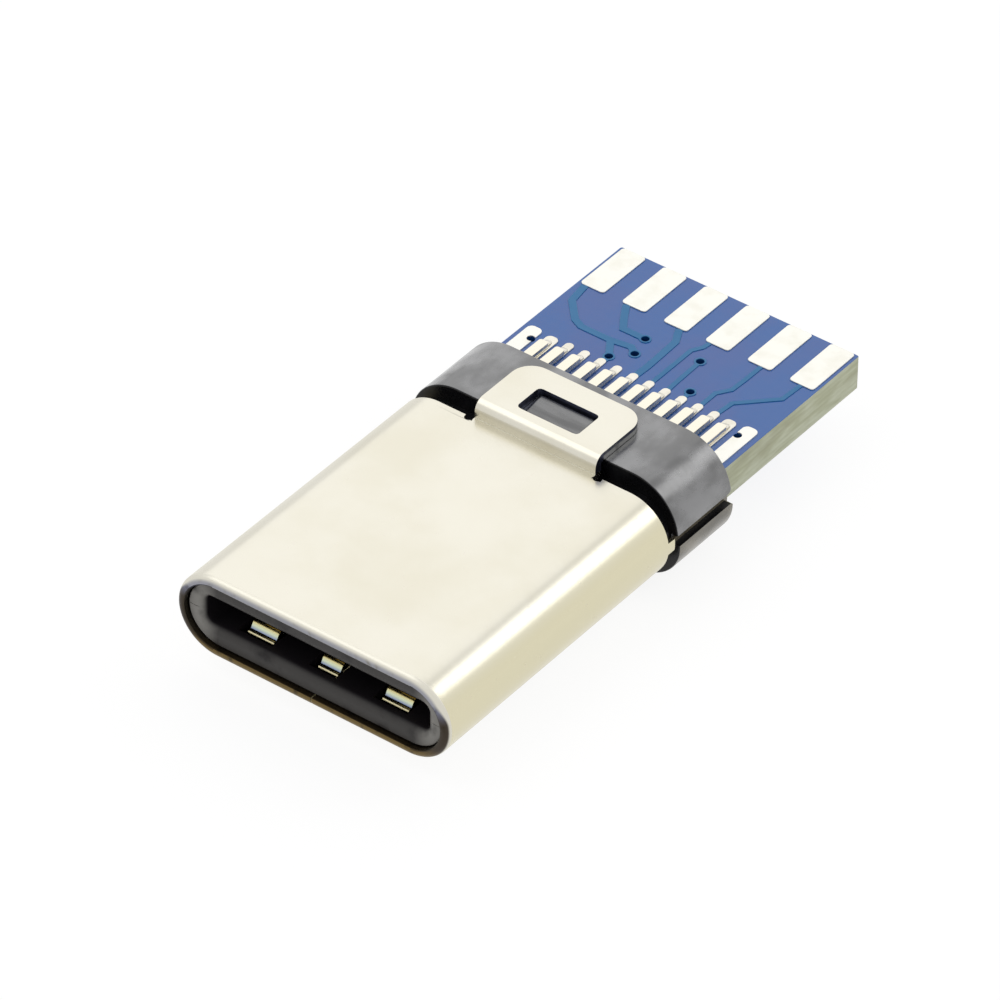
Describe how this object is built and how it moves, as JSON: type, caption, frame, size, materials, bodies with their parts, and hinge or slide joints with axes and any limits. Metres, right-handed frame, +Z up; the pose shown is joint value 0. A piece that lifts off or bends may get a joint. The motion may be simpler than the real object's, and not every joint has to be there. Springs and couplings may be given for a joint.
{
  "type": "usb-c plug",
  "caption": "Reversible flat cable plug: rolled nickel shell with catch tabs, moulded nose and collar, sprung contacts, latch plate and a paddle board with solder pads.",
  "frame": {"origin": "centre of the mouth, in the plane of the shell's front rim", "axes": "+X across the plug, +Y from the mouth to the wire end, +Z up"},
  "size_m": [0.0084, 0.0175, 0.0034],
  "materials": {
    "nickel_shell": "satin nickel plate",
    "black_moulding": "moulded, fine grain",
    "gilt_spring": "gilt, bright",
    "latch_steel": "bright stamping",
    "collar_moulding": "moulded, satin",
    "blue_board": "blue solder mask",
    "tinned_pad": "tinned, satin",
    "masked_copper": "copper under blue mask",
    "contact_alloy": "gilt and tinned"
  },
  "bodies": {
    "root": {"shell": "nickel_shell", "front_housing": "black_moulding", "upper_ground_spring": "gilt_spring", "lower_ground_spring": "gilt_spring", "latch_plate": "latch_steel", "upper_wafer": "collar_moulding", "lower_wafer": "collar_moulding", "circuit_board": "blue_board", "upper_wire_pads": "tinned_pad", "lower_wire_pads": "tinned_pad", "upper_contact_pads": "tinned_pad", "lower_contact_pads": "tinned_pad", "upper_shield_pads": "tinned_pad", "lower_shield_pads": "tinned_pad", "upper_copper_tracks": "masked_copper", "lower_copper_tracks": "masked_copper", "upper_contact_01": "contact_alloy", "upper_contact_02": "contact_alloy", "upper_contact_03": "contact_alloy", "upper_contact_04": "contact_alloy", "upper_contact_05": "contact_alloy", "upper_contact_06": "contact_alloy", "upper_contact_07": "contact_alloy", "upper_contact_08": "contact_alloy", "upper_contact_09": "contact_alloy", "upper_contact_10": "contact_alloy", "upper_contact_11": "contact_alloy", "upper_contact_12": "contact_alloy", "lower_contact_01": "contact_alloy", "lower_contact_02": "contact_alloy", "lower_contact_03": "contact_alloy", "lower_contact_04": "contact_alloy", "lower_contact_05": "contact_alloy", "lower_contact_08": "contact_alloy", "lower_contact_09": "contact_alloy", "lower_contact_10": "contact_alloy", "lower_contact_11": "contact_alloy", "lower_contact_12": "contact_alloy"}
  },
  "joints": []
}
